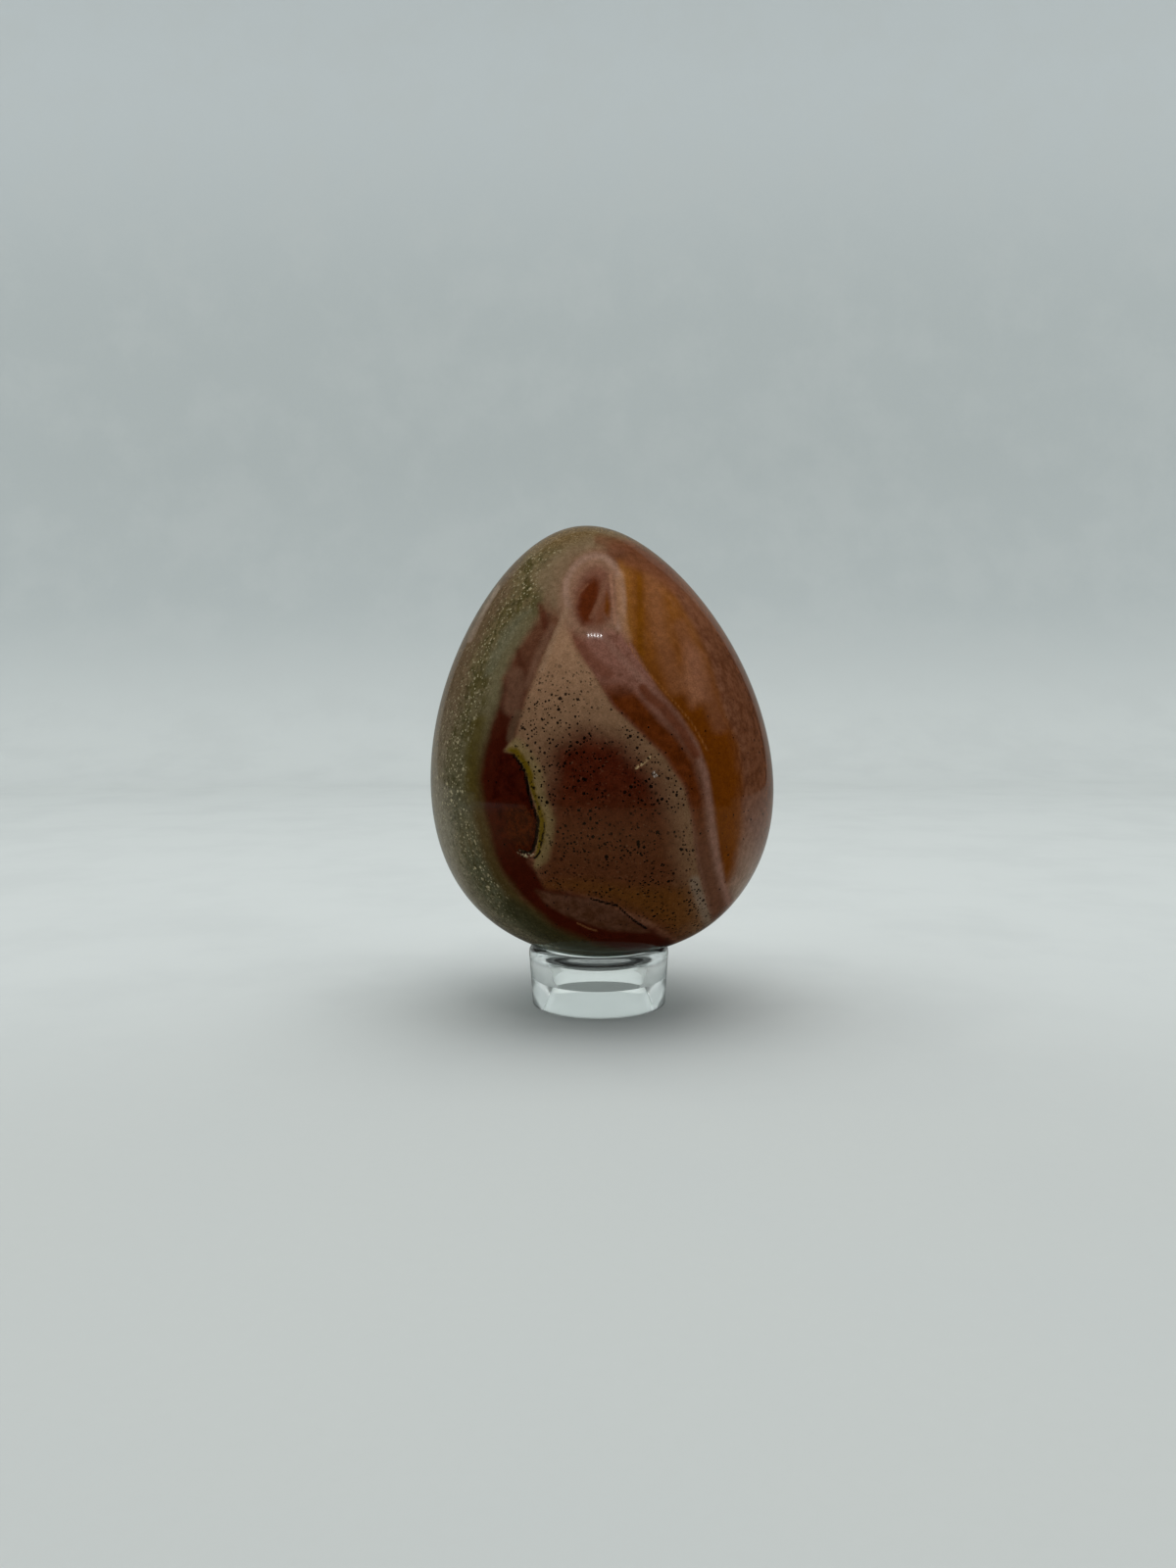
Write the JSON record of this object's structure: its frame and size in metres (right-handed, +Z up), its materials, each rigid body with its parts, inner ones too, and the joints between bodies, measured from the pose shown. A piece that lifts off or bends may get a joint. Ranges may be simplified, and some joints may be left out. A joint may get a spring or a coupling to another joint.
{
  "type": "decorative egg on stand",
  "caption": "Polished banded stone egg resting blunt end down in a small clear ring stand, and free to be lifted out.",
  "frame": {"origin": "centre of the ring stand's foot, on the surface it stands on", "axes": "+Z up, through the ring's axis and the egg's length; +Y away from the viewer; the egg's top leans a little towards -X"},
  "size_m": [0.0608, 0.0608, 0.0853],
  "materials": {
    "clear_acrylic": "clear, polished",
    "polished_stone": "polished, banded red-brown, ochre and grey-green"
  },
  "bodies": {
    "stand": {"ring_stand": "clear_acrylic"},
    "egg": {"stone_egg": "polished_stone"}
  },
  "joints": [
    {"name": "egg_lift", "type": "slide", "parent": "stand", "child": "egg", "axis": [0, 0, 1], "range_m": [0, 0.04]}
  ]
}
